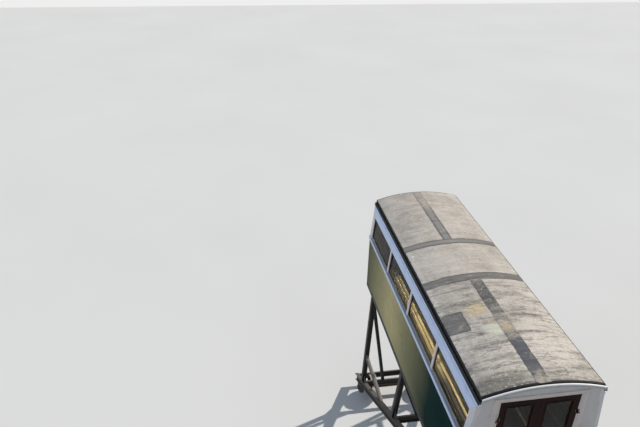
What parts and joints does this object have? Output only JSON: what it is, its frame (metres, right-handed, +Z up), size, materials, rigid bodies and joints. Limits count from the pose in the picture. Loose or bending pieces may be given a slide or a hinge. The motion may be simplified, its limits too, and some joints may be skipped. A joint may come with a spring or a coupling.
{
  "type": "funicular car",
  "caption": "Level saloon with barrel roof, side windows and end doors on a wedge-shaped steel frame whose flanged wheels run on inclined rails.",
  "frame": {"origin": "mount track: on the car's centreline at rail height, midway between the two axles along the rails", "axes": "+Y level and downhill, +X to the right of someone looking downhill, +Z up; the body is level and the rails fall 1 in 1.75 towards +Y"},
  "size_m": [2.246, 5.7426, 5.4146],
  "materials": {
    "roof_felt": "weathered bituminous roofing felt, warm grey",
    "seam_bitumen": "grey bitumen seam strips",
    "white_paint": "white gloss paint on timber",
    "green_panel": "very dark green gloss coach paint",
    "varnished_wood": "varnished golden-brown timber",
    "bench_slats": "varnished pale timber slats",
    "floor_boards": "worn floor boards",
    "door_wood": "dark red-brown varnished door timber",
    "window_glass": "clear window glass",
    "black_iron": "black painted iron",
    "frame_steel": "dark grey painted steel with grime",
    "axle_castings": "oily dark cast iron",
    "wheel_steel": "bare steel treads, dark discs",
    "hinge_brass": "dull brass"
  },
  "bodies": {
    "car": {"roof": "roof_felt", "felt_strips": "seam_bitumen", "ceiling": "varnished_wood", "gutters": "black_iron", "roof_edgings": "black_iron", "end_cornices": "white_paint", "fascias": "white_paint", "floor": "floor_boards", "bench_frames": "varnished_wood", "bench_seats": "bench_slats", "bench_backs": "bench_slats", "sole_bars": "frame_steel", "headstocks": "frame_steel", "cross_bearers": "frame_steel", "cross_beams": "frame_steel", "end_legs": "frame_steel", "middle_legs": "frame_steel", "raking_struts": "frame_steel", "level_ties": "frame_steel", "horn_guides": "axle_castings", "axleboxes": "axle_castings", "rope_anchor": "axle_castings", "side_panel_left": "green_panel", "side_lining_left": "varnished_wood", "side_frame_left": "white_paint", "side_glass_left": "window_glass", "inclined_beam_left": "frame_steel", "side_panel_right": "green_panel", "side_lining_right": "varnished_wood", "side_frame_right": "white_paint", "side_glass_right": "window_glass", "inclined_beam_right": "frame_steel", "end_wall_uphill": "white_paint", "door_hinges_uphill": "hinge_brass", "end_wall_downhill": "white_paint", "door_hinges_downhill": "hinge_brass"},
    "uphill_wheels": {"wheelset_uphill": "wheel_steel"},
    "downhill_wheels": {"wheelset_downhill": "wheel_steel"},
    "uphill_left_door": {"door_uphill_left": "door_wood", "door_glass_uphill_left": "window_glass"},
    "uphill_right_door": {"door_uphill_right": "door_wood", "door_glass_uphill_right": "window_glass"},
    "downhill_left_door": {"door_downhill_left": "door_wood", "door_glass_downhill_left": "window_glass"},
    "downhill_right_door": {"door_downhill_right": "door_wood", "door_glass_downhill_right": "window_glass"}
  },
  "joints": [
    {"name": "uphill_wheels_turn", "type": "hinge", "parent": "car", "child": "uphill_wheels", "pos_m": [0, -1.68935, 1.27632], "axis": [1, 0, 0], "continuous": true},
    {"name": "downhill_wheels_turn", "type": "hinge", "parent": "car", "child": "downhill_wheels", "pos_m": [0, 1.95727, -0.80747], "axis": [1, 0, 0], "continuous": true},
    {"name": "uphill_left_door_swing", "type": "hinge", "parent": "car", "child": "uphill_left_door", "pos_m": [-0.575, -3.28, 2.185], "axis": [0, 0, -1], "range_deg": [0, 95]},
    {"name": "uphill_right_door_swing", "type": "hinge", "parent": "car", "child": "uphill_right_door", "pos_m": [0.575, -3.28, 2.185], "axis": [0, 0, 1], "range_deg": [0, 95]},
    {"name": "downhill_left_door_swing", "type": "hinge", "parent": "car", "child": "downhill_left_door", "pos_m": [-0.575, 2.31, 2.185], "axis": [0, 0, 1], "range_deg": [0, 95]},
    {"name": "downhill_right_door_swing", "type": "hinge", "parent": "car", "child": "downhill_right_door", "pos_m": [0.575, 2.31, 2.185], "axis": [0, 0, -1], "range_deg": [0, 95]}
  ]
}
